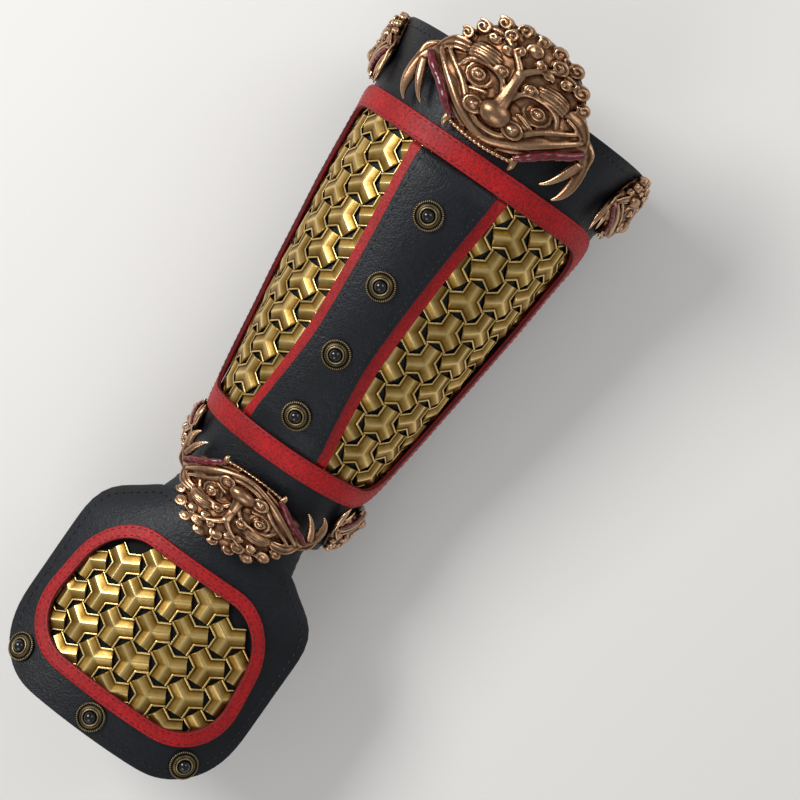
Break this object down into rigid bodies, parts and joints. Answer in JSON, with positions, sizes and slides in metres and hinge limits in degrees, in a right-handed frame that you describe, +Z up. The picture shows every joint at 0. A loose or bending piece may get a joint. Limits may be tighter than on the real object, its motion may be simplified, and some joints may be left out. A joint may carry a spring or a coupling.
{
  "type": "leather bracer",
  "caption": "Black leather forearm guard with gold mountain-pattern scales, red frames, cast beast heads and a hinged hand guard.",
  "frame": {"origin": "middle of the footprint, on the plane of the back buckles' lowest faces", "axes": "+X along the arm towards the elbow, +Z up through the centre strip, Y across"},
  "size_m": [0.4004, 0.152, 0.1356],
  "materials": {
    "black_leather": "grained black leather, semi-matt",
    "soft_leather": "soft creased black leather",
    "strap_leather": "smooth black strap leather with burnished edges",
    "suede_lining": "brown suede, flesh side out",
    "red_leather": "dyed red leather, semi-gloss",
    "gold_scales": "pressed brass scales with dark recesses",
    "antique_stud": "antiqued brass, darkened in the grooves",
    "black_bead": "glossy black domed bead",
    "cast_bronze": "cast rose bronze with dark patina in the recesses",
    "brass_rivets": "plain brass rivets",
    "steel_posts": "plain steel screw posts",
    "buckle_brass": "polished brass buckle"
  },
  "bodies": {
    "forearm": {"forearm_shell": "black_leather", "forearm_lining": "suede_lining", "outer_cover": "black_leather", "red_frame": "red_leather", "center_strip": "black_leather", "strip_red_edging": "red_leather", "scale_panel_left": "gold_scales", "scale_panel_right": "gold_scales", "strip_conchos": "antique_stud", "strip_beads": "black_bead", "strip_posts": "steel_posts", "elbow_head_center": "cast_bronze", "elbow_head_left": "cast_bronze", "elbow_head_right": "cast_bronze", "wrist_head_center": "cast_bronze", "wrist_head_left": "cast_bronze", "wrist_head_right": "cast_bronze", "elbow_head_rivets": "brass_rivets", "wrist_head_rivets": "brass_rivets", "wrist_gusset": "soft_leather", "elbow_strap": "strap_leather", "middle_strap": "strap_leather", "wrist_strap": "strap_leather", "elbow_chape": "strap_leather", "middle_chape": "strap_leather", "wrist_chape": "strap_leather", "elbow_buckle_frame": "buckle_brass", "middle_buckle_frame": "buckle_brass", "wrist_buckle_frame": "buckle_brass", "strap_keepers": "strap_leather", "strap_rivets": "brass_rivets"},
    "hand_guard": {"guard_leather": "black_leather", "guard_lining": "suede_lining", "guard_red_ring": "red_leather", "guard_scales": "gold_scales", "guard_conchos": "antique_stud", "guard_beads": "black_bead", "guard_posts": "steel_posts", "palm_strap": "strap_leather"},
    "elbow_prong": {"elbow_buckle_prong": "buckle_brass"},
    "middle_prong": {"middle_buckle_prong": "buckle_brass"},
    "wrist_prong": {"wrist_buckle_prong": "buckle_brass"}
  },
  "joints": [
    {"name": "hand_guard_flex", "type": "hinge", "parent": "forearm", "child": "hand_guard", "pos_m": [-0.07348, 0, 0.08262], "axis": [0, 1, 0], "range_deg": [-20, 6], "deforming": ["wrist_gusset"]},
    {"name": "elbow_prong_hinge", "type": "hinge", "parent": "forearm", "child": "elbow_prong", "pos_m": [0.1465, 0, 0.00748], "axis": [1, 0, 0], "range_deg": [0, 60]},
    {"name": "middle_prong_hinge", "type": "hinge", "parent": "forearm", "child": "middle_prong", "pos_m": [0.0545, 0, 0.00748], "axis": [1, 0, 0], "range_deg": [0, 60]},
    {"name": "wrist_prong_hinge", "type": "hinge", "parent": "forearm", "child": "wrist_prong", "pos_m": [-0.0235, 0, 0.00748], "axis": [1, 0, 0], "range_deg": [0, 60]}
  ]
}
